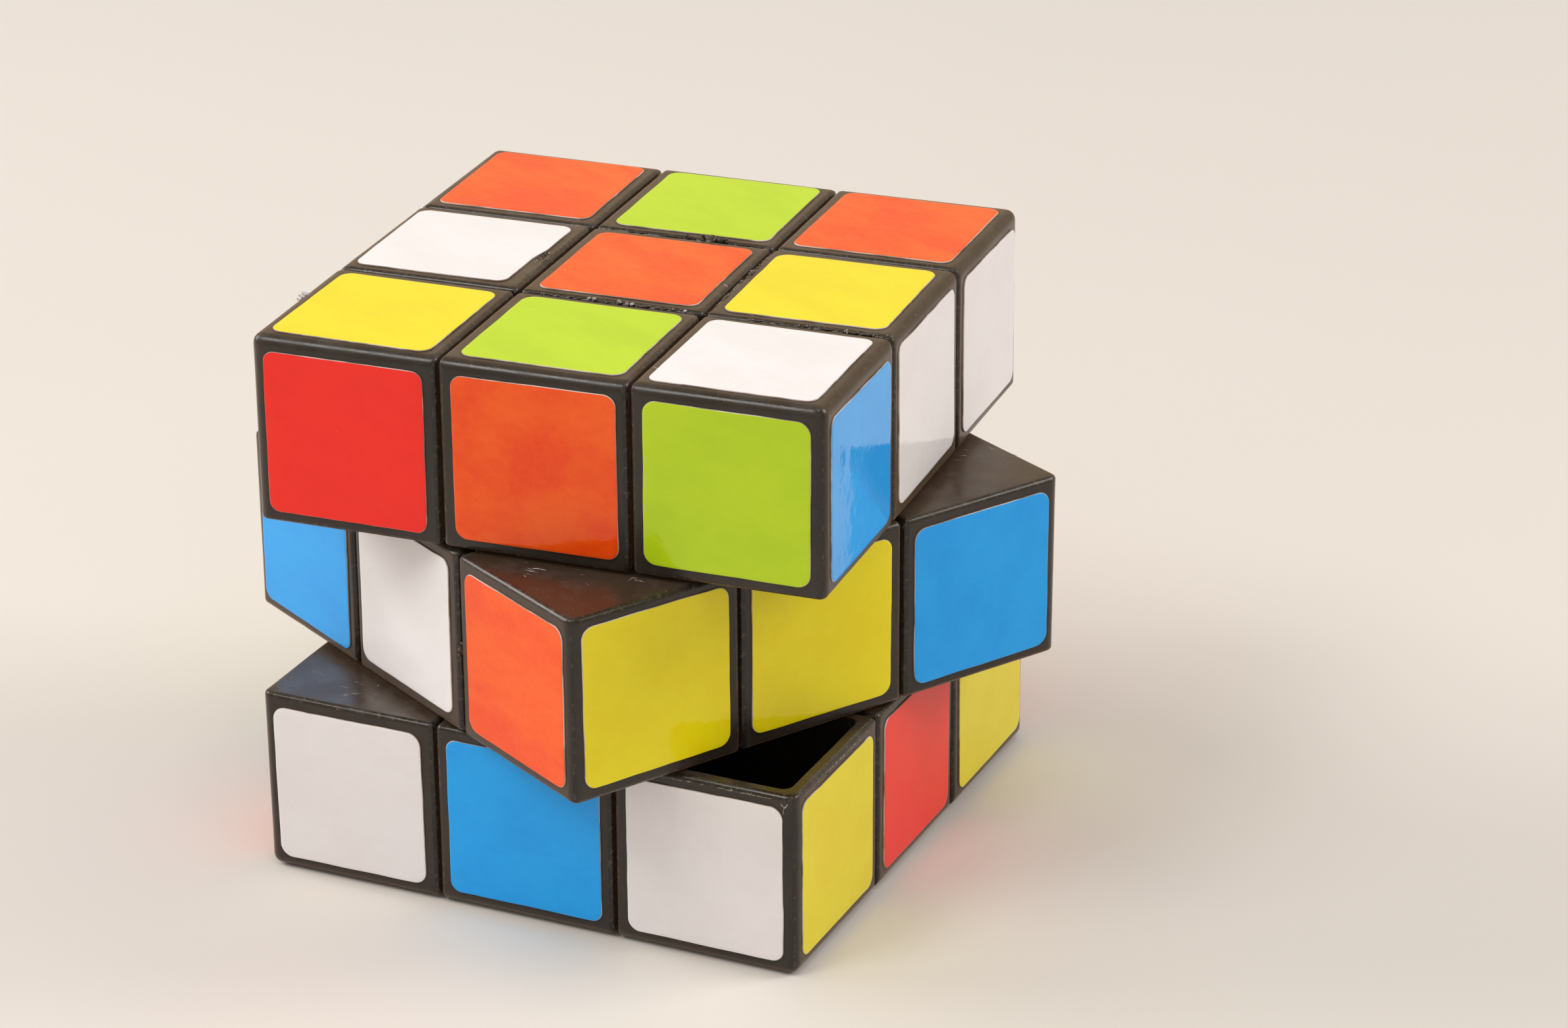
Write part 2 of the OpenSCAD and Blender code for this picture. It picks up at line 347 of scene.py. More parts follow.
def add_crumbs(bm, wear_and_shade, centre, spread, count, radius, seed, tone=2.0):
    """A cluster of small irregular crumbs."""
    rng = random.Random(seed)
    for _ in range(count):
        at = Vector([centre[a] + rng.gauss(0, spread[a]) for a in range(3)]) * MM
        size = radius * rng.uniform(0.4, 1.0) * MM
        found = bmesh.ops.create_icosphere(bm, subdivisions=2, radius=size)["verts"]
        squash = Vector([rng.uniform(0.5, 1.4) for _ in range(3)])
        for v in found:
            lumpy = 1 + 0.5 * noise.noise(v.co / size + at / MM)
            v.co = at + Vector([c * q for c, q in zip(v.co, squash)]) * lumpy
            v[wear_and_shade] = tone


def add_scratches(bm, wear_and_shade, centre, spread, count, length, seed, tone=2.0):
    """Short thin whitish scratches, most of them in about one direction."""
    rng = random.Random(seed)
    for number in range(count):
        start = [centre[a] + rng.gauss(0, spread[a]) for a in range(3)]
        turn, reach = rng.gauss(0.6, 0.5), length * rng.uniform(0.4, 1.0)
        end = [start[0] + reach * math.cos(turn), start[1] + reach * math.sin(turn), start[2]]
        radius = rng.uniform(0.025, 0.045)
        add_bead(bm, wear_and_shade, start, end, radius, "%s %d" % (seed, number), tone=tone, ragged=0.8)


def add_marks(mesh, name):
    """Adds the flash, glue, crumbs and scratches that one cubie carries, in its unturned layer."""
    if name not in MARKS:
        return
    bm = bmesh.new()
    bm.from_mesh(mesh)
    wear_and_shade = bm.verts.layers.float["wear_and_shade"]
    for number, (kind, *values) in enumerate(MARKS[name]):
        kind(bm, wear_and_shade, *values[:-1], "%s %d" % (name, number), **values[-1])
    bm.normal_update()
    bm.to_mesh(mesh)
    bm.free()


def weighted_normals(made):
    """Keeps the flats flat and the roundings smooth when shaded."""
    keep = made.modifiers.new("normals", "WEIGHTED_NORMAL")
    keep.keep_sharp = True
    keep.weight = 60


# ---------------------------------------------------------------- shaders

# painted shade: the near black towards which roundings, cut edges, insides and open rims are
# darkened
ROUNDING_SHADE = (0.006, 0.005, 0.0045, 1)
FLASH_GREY = (0.3, 0.26, 0.22, 1)
CHALK_WHITE = (0.74, 0.71, 0.72, 1)
SCUFF_GREY = (0.42, 0.4, 0.38, 1)
HAZE_GREY = (0.06, 0.06, 0.062, 1)
DUST_GREY = (0.5, 0.47, 0.43, 1)
GRIME_TINT = (1.0, 0.56, 0.3, 1)
FLECK_WHITE = (0.75, 0.72, 0.68, 1)
NICK_DARK = (0.12, 0.1, 0.09, 1)
EDGE_CLEAN, EDGE_SOILED = (0.66, 0.58, 0.53, 1), (0.26, 0.21, 0.17, 1)
STEEL_BRIGHT, STEEL_DULL = (0.62, 0.61, 0.6, 1), (0.4, 0.39, 0.38, 1)
FLOOR_TONES = (0.69, 0.64, 0.585, 1), (0.715, 0.665, 0.61, 1)


def add(tree, kind, links=None, **settings):
    """A shader node. links gives an input's name or number, and a socket or a plain value."""
    made = tree.nodes.new(kind)
    for key, value in settings.items():
        setattr(made, key, value)
    for key, value in (links or {}).items():
        socket = made.inputs[key]
        if isinstance(value, bpy.types.NodeSocket):
            tree.links.new(value, socket)
        else:
            socket.default_value = value
    return made


def mix(tree, factor, a, b):
    """A colour that goes from a to b as the factor goes from 0 to 1."""
    made = add(tree, "ShaderNodeMix", {0: factor, 6: a, 7: b}, data_type="RGBA")
    return made.outputs[2]


def math_node(tree, operation, a, b=0.0):
    """One step of arithmetic on sockets or plain values."""
    return add(tree, "ShaderNodeMath", {0: a, 1: b}, operation=operation).outputs[0]


def ramp(tree, value, start, end, low=0.0, high=1.0):
    """Low up to start, high from end, and smooth between."""
    links = {"Value": value, "From Min": start, "From Max": end, "To Min": low, "To Max": high}
    return add(tree, "ShaderNodeMapRange", links, interpolation_type="SMOOTHSTEP").outputs[0]


def cloud(tree, where, size, detail=3.0, rough=0.55):
    """Noise with features of about the given size in metres."""
    links = {"Vector": where, "Scale": 1 / size, "Detail": detail, "Roughness": rough}
    return add(tree, "ShaderNodeTexNoise", links).outputs[0]


def stretched(tree, where, turn, stretch):
    """Coordinates that draw what follows out along one direction."""
    links = {"Vector": where, "Rotation": turn, "Scale": stretch}
    return add(tree, "ShaderNodeMapping", links).outputs[0]


def spots(tree, where, spacing, radius, share):
    """Small round spots, one to some of the cells that are spacing wide."""
    cells = add(tree, "ShaderNodeTexVoronoi", {"Vector": where, "Scale": 1 / spacing})
    size = radius / spacing
    near = ramp(tree, cells.outputs["Distance"], size, size * 0.6)
    pick = add(tree, "ShaderNodeSeparateColor", {0: cells.outputs["Color"]}).outputs[0]
    chosen = ramp(tree, pick, 1 - share, 1 - share + 0.01)
    return math_node(tree, "MULTIPLY", near, chosen)


def start_material(name):
    """A new material with its node tree, its shader and the object coordinates."""
    made = bpy.data.materials.new(name)
    made.use_nodes = True
    tree = made.node_tree
    tree.nodes.clear()
    shader = add(tree, "ShaderNodeBsdfPrincipled")
    add(tree, "ShaderNodeOutputMaterial", {"Surface": shader.outputs[0]})
    where = add(tree, "ShaderNodeTexCoord").outputs["Object"]
    return made, tree, shader, where


def bump(tree, shader, height, strength, distance):
    """Gives a shader a bumpy surface."""
    links = {"Height": height, "Strength": strength, "Distance": distance}
    made = add(tree, "ShaderNodeBump", links)
    tree.links.new(made.outputs[0], shader.inputs["Normal"])


def worn_and_shaded_colour(tree, where, tone, bent, colour, worn, wear_share):
    """The colour with painted shade on the roundings, rubbed crests, and pale flash and chalk by
    their tone, and the share of chalk."""
    # painted shade on the roundings, cut edges, insides and open rims
    colour = mix(tree, math_node(tree, "MULTIPLY", bent, 0.8), colour, ROUNDING_SHADE)
    fine = cloud(tree, where, 0.5 * MM, 4.0, 0.6)
    rubbed = math_node(tree, "MULTIPLY", ramp(tree, tone, 0.3, 1.0), ramp(tree, fine, 0.5, 0.72))
    colour = mix(tree, math_node(tree, "MULTIPLY", rubbed, wear_share), colour, worn)
    speckle = ramp(tree, fine, 0.4, 0.6, 0.35, 1.0)
    flash = math_node(tree, "MULTIPLY", ramp(tree, tone, 1.0, 2.0), speckle)
    colour = mix(tree, math_node(tree, "MULTIPLY", flash, 0.85), colour, FLASH_GREY)
    chalk = math_node(tree, "MULTIPLY", ramp(tree, tone, 2.0, 3.0), speckle)
    return mix(tree, chalk, colour, CHALK_WHITE), chalk


def scuff_pattern(tree, where, up):
    """Short strokes in three directions, on what faces up."""
    strokes = []
    for turn, share in ((0.4, 0.2), (1.9, 0.16), (2.7, 0.14)):
        along = stretched(tree, where, (0, 0, turn), (0.14, 1.0, 1.0))
        strokes.append(spots(tree, along, 1.4 * MM, 0.1 * MM, share))
    scuffs = math_node(tree, "MAXIMUM", strokes[0], math_node(tree, "MAXIMUM", *strokes[1:]))
    broken = ramp(tree, cloud(tree, where, 0.4 * MM, 4.0), 0.4, 0.62)
    scuffs = math_node(tree, "MULTIPLY", scuffs, broken)
    return math_node(tree, "MULTIPLY", scuffs, ramp(tree, up, 0.5, 0.95))


def dust_pattern(tree, where, upward):
    """Specks of two sizes, most of them on what faces up."""
    coarse = spots(tree, where, 1.4 * MM, 0.06 * MM, 0.45)
    fine = spots(tree, where, 0.6 * MM, 0.035 * MM, 0.45)
    return math_node(tree, "MULTIPLY", math_node(tree, "MAXIMUM", coarse, fine), upward)


def plastic_material(name, dark, warm, worn, wear_share, film):
    """Moulded satin plastic: uneven colour and gloss, painted shade on the roundings, rubbed edges,
    scuffs, a haze, dust, and a film of grime."""
    made, tree, shader, where = start_material(name)
    tone = add(tree, "ShaderNodeAttribute", attribute_name="wear_and_shade").outputs["Fac"]
    bent = ramp(tree, tone, 0.1, 0.7)
    normal = add(tree, "ShaderNodeNewGeometry").outputs["Normal"]
    up = add(tree, "ShaderNodeSeparateXYZ", {0: normal}).outputs["Z"]
    upward = ramp(tree, up, 0.5, 0.95, 0.3, 1.0)

    colour = mix(tree, ramp(tree, cloud(tree, where, 11 * MM), 0.35, 0.7), dark, warm)
    colour, chalk = worn_and_shaded_colour(tree, where, tone, bent, colour, worn, wear_share)
    scuffs = scuff_pattern(tree, where, up)
    colour = mix(tree, math_node(tree, "MULTIPLY", scuffs, 0.7), colour, SCUFF_GREY)
    haze = ramp(tree, cloud(tree, where, 2.6 * MM, 6.0, 0.72), 0.46, 0.66)
    haze = math_node(tree, "MULTIPLY", haze, upward)
    colour = mix(tree, math_node(tree, "MULTIPLY", haze, 0.3), colour, HAZE_GREY)
    dust = dust_pattern(tree, where, upward)
    colour = mix(tree, math_node(tree, "MULTIPLY", dust, 0.7), colour, DUST_GREY)
    tree.links.new(colour, shader.inputs["Base Color"])

    gloss = ramp(tree, cloud(tree, where, 3.5 * MM, 4.0), 0.3, 0.7, 0.24, 0.36)
    gloss = math_node(tree, "SUBTRACT", gloss, math_node(tree, "MULTIPLY", bent, 0.05))
    for mark, share in ((scuffs, 0.3), (haze, 0.06), (chalk, 0.4)):
        gloss = math_node(tree, "ADD", gloss, math_node(tree, "MULTIPLY", mark, share))
    tree.links.new(gloss, shader.inputs["Roughness"])
    shader.inputs["Specular IOR Level"].default_value = 0.42
    shader.inputs["Sheen Weight"].default_value = film
    shader.inputs["Sheen Roughness"].default_value = 0.5
    shader.inputs["Sheen Tint"].default_value = GRIME_TINT
    grain = math_node(tree, "ADD", cloud(tree, where, 0.25 * MM, 2.0),
                      math_node(tree, "MULTIPLY", cloud(tree, where, 1.6 * MM, 3.0), 2.0))
    bump(tree, shader, grain, 0.3, 0.02 * MM)
    return made


def vinyl_material(name, colour, deep, mottle, gloss_low, gloss_high):
    """Glossy printed vinyl: streaky blotches, a fine peel, and uneven gloss."""
    made, tree, shader, where = start_material(name)
    streaks = stretched(tree, where, (0.5, 0.35, 0.3), (0.4, 1.0, 1.0))
    broad = ramp(tree, cloud(tree, streaks, 6 * MM, 5.0, 0.62), 0.36, 0.66)
    fine = ramp(tree, cloud(tree, where, 0.7 * MM, 5.0, 0.7), 0.3, 0.75)
    both = math_node(tree, "ADD", math_node(tree, "MULTIPLY", broad, 0.7),
                     math_node(tree, "MULTIPLY", fine, 0.3))
    shade = mix(tree, math_node(tree, "MULTIPLY", both, mottle), colour, deep)
    fleck = spots(tree, where, 2.6 * MM, 0.05 * MM, 0.25)
    shade = mix(tree, math_node(tree, "MULTIPLY", fleck, 0.4), shade, FLECK_WHITE)
    nick = spots(tree, where, 3.7 * MM, 0.05 * MM, 0.12)
    shade = mix(tree, math_node(tree, "MULTIPLY", nick, 0.6), shade, NICK_DARK)
    tree.links.new(shade, shader.inputs["Base Color"])
    gloss = ramp(tree, cloud(tree, where, 4 * MM, 4.0), 0.3, 0.72, gloss_low, gloss_high)
    tree.links.new(gloss, shader.inputs["Roughness"])
    shader.inputs["Specular IOR Level"].default_value = 0.38
    peel = math_node(tree, "ADD", cloud(tree, where, 0.6 * MM, 2.0),
                     math_node(tree, "MULTIPLY", cloud(tree, where, 2.2 * MM, 2.0), 4.0))
    bump(tree, shader, peel, 0.4, 0.018 * MM)
    return made


def cut_edge_material():
    """The pale core of the vinyl, seen along its cut edges, soiled here and there."""
    made, tree, shader, where = start_material("vinyl_cut_edge")
    soil = ramp(tree, cloud(tree, where, 5 * MM, 3.0), 0.4, 0.6)
    tree.links.new(mix(tree, soil, EDGE_CLEAN, EDGE_SOILED), shader.inputs["Base Color"])
    shader.inputs["Roughness"].default_value = 0.5
    bump(tree, shader, cloud(tree, where, 0.3 * MM), 0.3, 0.02 * MM)
    return made


def steel_material():
    """Zinc-plated steel with fine turning marks and dull patches."""
    made, tree, shader, where = start_material("plated_steel")
    patch = ramp(tree, cloud(tree, where, 1.5 * MM, 4.0), 0.35, 0.7)
    tree.links.new(mix(tree, patch, STEEL_BRIGHT, STEEL_DULL), shader.inputs["Base Color"])
    shader.inputs["Metallic"].default_value = 1.0
    tree.links.new(ramp(tree, patch, 0.0, 1.0, 0.25, 0.45), shader.inputs["Roughness"])
    bump(tree, shader, cloud(tree, where, 0.2 * MM), 0.2, 0.02 * MM)
    return made


# ---------------------------------------------------------------- templates of the cubies

def template_shell(name, low, high, opened):
    """A hollow cubie, cut away inside by the track, and open below where opened says so."""
    made = sliced(rounded_box(name, low, high, SEAM_R, OUTER_R, 6), low, high, GRID)
    room_low = Vector(low) + Vector((WALL,) * 3)
    room_high = Vector(high) - Vector((WALL,) * 3)
    if opened:
        room_low.z = low[2] - 3 * MM
    combine(made, rounded_box("room", room_low, room_high, ROOM_R), "DIFFERENCE")
    combine(made, ball("track", TRACK), "DIFFERENCE")
    if opened:
        soften(made, RIM_R, 4)
    return mark_wear_and_shade(made, low, high, opened)


def centre_block(name):
    """The full block that a centre's cap and hub are cut from."""
    low, high = (-SIDE, -SIDE, INNER), (SIDE, SIDE, HALF)
    return sliced(rounded_box(name, low, high, SEAM_R, 0, 6), low, high, GRID)


def template_cap():
    """The square cap of a centre cubie, with the plug that fits into the hub's tray."""
    made = centre_block("cap")
    wide = 2 * SIDE
    below = rounded_box("below", (-wide, -wide, 0), (wide, wide, CAP_SEAT), MM)
    combine(made, below, "DIFFERENCE")
    plug_w, plug_depth, plug_r = SIDE - WALL - 0.1 * MM, 1.6 * MM, 0.3 * MM
    plug_low, plug_high = CAP_SEAT - plug_depth, CAP_SEAT + MM
    plug = rounded_box("plug", (-plug_w, -plug_w, plug_low), (plug_w, plug_w, plug_high), plug_r)
    combine(made, plug, "UNION")
    soften(made, 0.06 * MM)
    return mark_wear_and_shade(made, (-SIDE, -SIDE, INNER), (SIDE, SIDE, HALF))


def template_hub():
    """The body of a centre cubie: a square tray on a stalk that is bored for arm and spring."""
    made = centre_block("hub")
    seat, wide = CAP_SEAT - CAP_GAP, 2 * SIDE
    above = rounded_box("above", (-wide, -wide, seat), (wide, wide, 2 * HALF), MM)
    combine(made, above, "DIFFERENCE")
    combine(made, ball("track", TRACK), "DIFFERENCE")
    tray_w, tray_r = SIDE - WALL, 0.6 * MM
    tray_floor, tray_top = TRACK + 1.2 * MM, HALF + 4 * MM
    combine(made, rod("stalk", STALK_R, STALK_LOW, tray_floor - 0.1 * MM), "UNION")
    tray = rounded_box("tray", (-tray_w, -tray_w, tray_floor), (tray_w, tray_w, tray_top), tray_r)
    combine(made, tray, "DIFFERENCE")
    combine(made, rod("well", WELL_R, WELL_LOW, HALF), "DIFFERENCE")
    combine(made, rod("hole", SCREW_HOLE_R, 0, HALF, 32), "DIFFERENCE")
    combine(made, rod("bore", ARM_BORE_R, 0, ARM_BORE_TOP), "DIFFERENCE")
    return mark_wear_and_shade(made, (-SIDE, -SIDE, INNER), (SIDE, SIDE, HALF))


# ---------------------------------------------------------------- stickers

def sticker_outline(width, corner, per_corner=7, per_side=10):
    """Points round a square with rounded corners, anticlockwise."""
    reach = width / 2 - corner
    points = []
    for quarter in range(4):
        turn = Matrix.Rotation(math.radians(90 * quarter), 2)
        for k in range(per_corner):
            a = math.radians(90 * k / per_corner)
            rounding = Vector((math.cos(a), math.sin(a))) * corner
            points.append(turn @ (Vector((reach, reach)) + rounding))
        for k in range(per_side):
            points.append(turn @ Vector((reach - 2 * reach * k / per_side, reach + corner)))
    return points


def cut_unevenly(point, offset, torn):
    """Moves a point of an outline by a little, and by more along the torn part of one."""
    drift = noise.noise(Vector((point.x, point.y, 0)) / (2.5 * MM) + offset) * 0.05 * MM
    outward = drift if point.x >= 0 else -drift
    moved = Vector((point.x + outward, point.y + drift))
    if torn and point.x > 0:
        torn_w, torn_top, torn_bottom = 0.5 * MM, 0.4 * MM, -0.4 * MM
        share = max(0.0, min(1.0, (torn_top - point.y) / (torn_top - torn_bottom)))
        moved.x -= torn_w * share * point.x / (STICKER_W / 2)
    return moved


def add_sticker(bm, matrix, seed, wavy):
    """One sticker: a pale cut edge, a soft shoulder, and a top that isn't quite flat."""
    rng = random.Random(seed)
    width = STICKER_W + rng.uniform(-0.1, 0.1) * MM
    outline = sticker_outline(width, STICKER_CORNER + rng.uniform(-0.15, 0.15) * MM)
    shift = Vector((rng.uniform(-0.16, 0.16) * MM, rng.uniform(-0.16, 0.16) * MM))
    turn = Matrix.Rotation(math.radians(rng.uniform(-0.7, 0.7)), 2)
    offset = Vector([rng.uniform(0, 50) for _ in range(3)])
    outline = [cut_unevenly(p, offset, seed == TORN_STICKER) for p in outline]
    shoulder = 0.07 * MM / (width / 2)
    rings = [(1.0, 0.0), (1.0, 0.6), (1 - shoulder * 0.5, 0.93), (1 - shoulder, 1.0)]
    rings += [(s, 1.0) for s in (0.96, 0.9, 0.82, 0.72, 0.61, 0.5, 0.38, 0.26, 0.13)]

    def point(p, scale, level):
        flat = turn @ (p * scale) + shift
        wave = noise.noise(Vector((flat.x, flat.y, 0)) / (5.5 * MM) + offset)
        wave += 0.5 * noise.noise(Vector((flat.x, flat.y, 0)) / (2.4 * MM) + offset)
        inside = min(1.0, (1 - scale) * 5)
        height = STICKER_T * level + wavy * wave * inside
        return bm.verts.new(matrix @ Vector((flat.x, flat.y, height)))

    loops = [[point(p, scale, level) for p in outline] for scale, level in rings]
    count = len(outline)
    for k in range(len(loops) - 1):
        for i in range(count):
            n = (i + 1) % count
            quad = bm.faces.new((loops[k][i], loops[k][n], loops[k + 1][n], loops[k + 1][i]))
            quad.material_index = 1 if k < 2 else 0
            quad.smooth = True
    middle = point(Vector((0, 0)), 0.0, 1.0)
    for i in range(count):
        tip = bm.faces.new((loops[-1][i], loops[-1][(i + 1) % count], middle))
        tip.smooth = True
    back = bm.faces.new(list(reversed(loops[0])))
    back.material_index = 1


def face_matrix(tilt, spin):
    """Lays the top face on another side of the cube."""
    return Matrix.Rotation(math.radians(spin), 4, "Z") @ Matrix.Rotation(math.radians(tilt), 4, "X")


def sticker_places():
    """Every sticker as (colour letter, layer, matrix, seed)."""
    found = []
    for number, (tilt, spin, rows) in enumerate(FACES):
        for row in range(3):
            for column in range(3):
                at = Vector((PITCH * (column - 1), PITCH * (1 - row), HALF))
                local = face_matrix(tilt, spin) @ Matrix.Translation(at)
                place = tuple(max(-1, min(1, round(c / PITCH))) for c in local.translation)
                matrix = layer_matrix(place[2]) @ slack_matrix(place) @ local
                seed = "sticker %d %d %d" % (number, row, column)
                found.append((rows[row][column], place[2], matrix, seed))
    return found


def make_stickers(materials, edge_material):
    """One piece for each CAD node of stickers: those of one colour on one layer."""
    places = sticker_places()
    for z, layer in LAYERS.items():
        for letter, colour in COLOUR_NAMES.items():
            bm = bmesh.new()
            for found, found_z, matrix, seed in places:
                if found == letter and found_z == z:
                    add_sticker(bm, matrix, seed, WAVY_WHITE if letter == "W" else WAVY)
            made = mesh_object("vinyl_%s_%s" % (layer, colour), [], [])
            bm.to_mesh(made.data)
            bm.free()
            made.data.materials.append(materials[letter])
            made.data.materials.append(edge_material)
            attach(made, layer + "_layer")
            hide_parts("stickers_%s_%s" % (layer, colour))


# ---------------------------------------------------------------- springs

def make_springs(material):
    """Six coil springs along the core's arms."""
    per_turn, sides = 28, 10
    steps = SPRING_TURNS * per_turn
    bm = bmesh.new()
    for place in [(0, 0, 1), (0, 0, -1), (1, 0, 0), (-1, 0, 0), (0, 1, 0), (0, -1, 0)]:
        matrix = layer_matrix(0) @ place_matrix(place)
        rings = []
        for step in range(steps + 1):
            a = 2 * math.pi * step / per_turn
            z = SPRING_LOW + (SPRING_HIGH - SPRING_LOW) * step / steps
            ring = []
            for k in range(sides):
                b = 2 * math.pi * k / sides
                r = SPRING_R + WIRE_R * math.cos(b)
                spot = Vector((r * math.cos(a), r * math.sin(a), z + WIRE_R * math.sin(b)))
                ring.append(bm.verts.new(matrix @ spot))
            rings.append(ring)
        for one, two in zip(rings, rings[1:]):
            for k in range(sides):
                n = (k + 1) % sides
                bm.faces.new((one[k], two[k], two[n], one[n])).smooth = True
        bm.faces.new(rings[0])
        bm.faces.new(rings[-1][::-1])
    bmesh.ops.recalc_face_normals(bm, faces=bm.faces)
    made = mesh_object("coil_springs", [], [])
    bm.to_mesh(made.data)
    bm.free()
    made.data.materials.append(material)
    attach(made, "middle_layer")
    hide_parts("centre_springs")


# ---------------------------------------------------------------- marks of use and moulding

# For each marked cubie, in its layer before the layer's turn, in millimetres: beads from one
# point to another with a radius, crumbs round a point with their spread, number and radius, and
# scratches round a point with their spread, number and length. A tone of 0 is black, 1 rubbed
# and darkened with painted shade like a rounding, 2 dusty flash and 3 chalk.
MARKS = {
    "edge_top_back": [
        (add_bead, (-8.4, 9.74, 28.34), (8.7, 9.74, 28.38), 0.11, {"tone": 0.7}),
        (add_crumbs, (2.5, 9.8, 28.6), (0.35, 0.1, 0.08), 7, 0.6, {"tone": 0.4}),
        (add_crumbs, (4.2, 9.78, 28.5), (0.3, 0.08, 0.06), 5, 0.5, {"tone": 0.4}),
        (add_crumbs, (0.7, 9.78, 28.45), (0.4, 0.08, 0.05), 5, 0.2, {"tone": 0.8}),
        (add_crumbs, (2.9, 9.8, 28.75), (0.9, 0.12, 0.1), 7, 0.09, {"tone": 2.2}),
    ],
    "edge_top_right": [
        (add_bead, (9.8, -9.1, 28.36), (9.8, 9.2, 28.38), 0.14, {"tone": 1.5}),
        (add_bead, (10.1, 0.6, 28.45), (9.9, 4.8, 28.45), 0.25, {"tone": 1.2}),
        (add_bead, (10.0, -6.0, 28.42), (9.9, -2.4, 28.42), 0.17, {"tone": 1.2}),
        (add_crumbs, (9.95, 0.0, 28.48), (0.12, 3.5, 0.05), 18, 0.1, {"tone": 2.3}),
        (add_bead, (10.1, -9.16, 28.34), (19.5, -9.2, 28.36), 0.13, {"tone": 1.3}),
        (add_bead, (18.5, -9.18, 28.34), (27.9, -9.16, 28.38), 0.24, {"tone": 1.1}),
        (add_crumbs, (23.0, -9.2, 28.46), (3.0, 0.14, 0.05), 18, 0.12, {"tone": 2.1}),
        (add_crumbs, (27.9, -9.2, 28.15), (0.25, 0.1, 0.3), 10, 0.16, {"tone": 1.6}),
    ],
    "cap_top": [
        (add_bead, (-9.0, -9.2, 28.36), (9.1, -9.2, 28.36), 0.16, {"tone": 1.3}),
        (add_crumbs, (1.5, -9.3, 28.46), (0.4, 0.08, 0.04), 5, 0.24, {"tone": 2.3}),
        (add_crumbs, (-2.0, -9.28, 28.46), (0.4, 0.06, 0.04), 5, 0.18, {"tone": 2.5}),
        (add_crumbs, (7.6, -9.25, 28.44), (0.3, 0.06, 0.03), 4, 0.16, {"tone": 2.8}),
        (add_crumbs, (0.0, -9.25, 28.44), (5.0, 0.12, 0.05), 22, 0.09, {"tone": 2.2}),
    ],
    "edge_top_left": [
        (add_crumbs, (-10.72, -0.2, 28.5), (0.22, 0.5, 0.04), 40, 0.12, {"tone": 1.1}),
        (add_crumbs, (-10.72, -0.2, 28.55), (0.25, 0.7, 0.04), 14, 0.08, {"tone": 2.5}),
        (add_bead, (-10.35, -6.5, 28.5), (-10.05, 5.8, 28.5), 0.09, {"tone": 1.7}),
    ],
    "corner_top_front_left": [
        (add_bead, (-28.2, -16.4, 28.28), (-28.1, -18.6, 28.34), 0.42, {"tone": 3.0, "ragged": 0.7}),
        (add_crumbs, (-28.15, -17.4, 28.4), (0.15, 0.6, 0.06), 18, 0.18, {"tone": 3.0}),
    ],
    "edge_front_right": [
        (add_crumbs, (9.5, -28.3, -0.6), (0.06, 0.1, 0.32), 14, 0.3, {"tone": 0.0}),
        (add_crumbs, (9.36, -28.5, -0.7), (0.1, 0.05, 0.4), 5, 0.06, {"tone": 2.2}),
        (add_scratches, (16.6, -25.0, 9.35), (0.5, 0.3, 0.0), 5, 1.6, {"tone": 3.0}),
        (add_scratches, (23.3, -18.0, 9.35), (0.7, 0.5, 0.0), 5, 1.3, {"tone": 2.7}),
        (add_scratches, (20.0, -20.0, 9.35), (4.5, 4.5, 0.0), 14, 1.0, {"tone": 2.3}),
    ],
    "edge_back_right": [
        (add_scratches, (21.0, 19.0, 9.35), (4.5, 4.5, 0.0), 12, 1.2, {"tone": 2.4}),
    ],
    "edge_back_left": [
        (add_scratches, (-20.0, 20.0, 9.35), (4.5, 4.5, 0.0), 12, 1.2, {"tone": 2.4}),
    ],
    "corner_bottom_front_left": [
        (add_scratches, (-22.0, -23.0, -9.65), (3.0, 2.5, 0.0), 16, 1.5, {"tone": 2.5}),
        (add_scratches, (-20.0, -25.0, -9.65), (1.0, 1.0, 0.0), 6, 1.0, {"tone": 3.0}),
    ],
    "corner_bottom_back_right": [
        (add_scratches, (20.0, 20.0, -9.65), (4.0, 4.0, 0.0), 12, 1.2, {"tone": 2.4}),
    ],
    "corner_bottom_front_right": [
        (add_bead, (10.0, -28.46, -10.18), (27.6, -28.46, -10.18), 0.1, {"tone": 1.8}),
        (add_bead, (28.46, -27.6, -10.18), (28.46, -10.0, -10.18), 0.1, {"tone": 1.8}),
        (add_crumbs, (28.4, -21.0, -10.2), (0.05, 0.4, 0.08), 8, 0.14, {"tone": 1.4}),
        (add_bead, (27.8, -28.42, -10.3), (27.3, -28.5, -10.9), 0.08, {"tone": 3.0}),
        (add_bead, (26.9, -28.48, -10.45), (27.35, -28.5, -10.95), 0.07, {"tone": 3.0}),
        (add_bead, (27.3, -28.5, -10.85), (27.2, -28.5, -11.6), 0.07, {"tone": 2.8}),
        (add_crumbs, (22.5, -28.42, -10.1), (1.2, 0.05, 0.07), 14, 0.08, {"tone": 2.3}),
    ],
    "edge_bottom_front": [
        (add_bead, (-9.0, -28.46, -10.18), (9.0, -28.46, -10.18), 0.09, {"tone": 1.7}),
    ],
}


# ---------------------------------------------------------------- the object

# Each vinyl: its colour, the deeper tone of its blotches, their strength, its lowest and
# highest roughness
VINYLS = {
    "W": ((0.83, 0.795, 0.80, 1), (0.77, 0.72, 0.715, 1), 0.6, 0.06, 0.14),
    "Y": ((0.82, 0.70, 0.008, 1), (0.78, 0.6, 0.003, 1), 0.6, 0.035, 0.09),
    "O": ((0.93, 0.115, 0.004, 1), (0.84, 0.045, 0.001, 1), 0.9, 0.06, 0.13),
    "R": ((0.93, 0.02, 0.008, 1), (0.84, 0.013, 0.006, 1), 0.6, 0.05, 0.11),
    "G": ((0.49, 0.68, 0.01, 1), (0.41, 0.59, 0.005, 1), 0.6, 0.035, 0.09),
    "B": ((0.01, 0.38, 0.9, 1), (0.006, 0.31, 0.84, 1), 0.7, 0.035, 0.09),
}
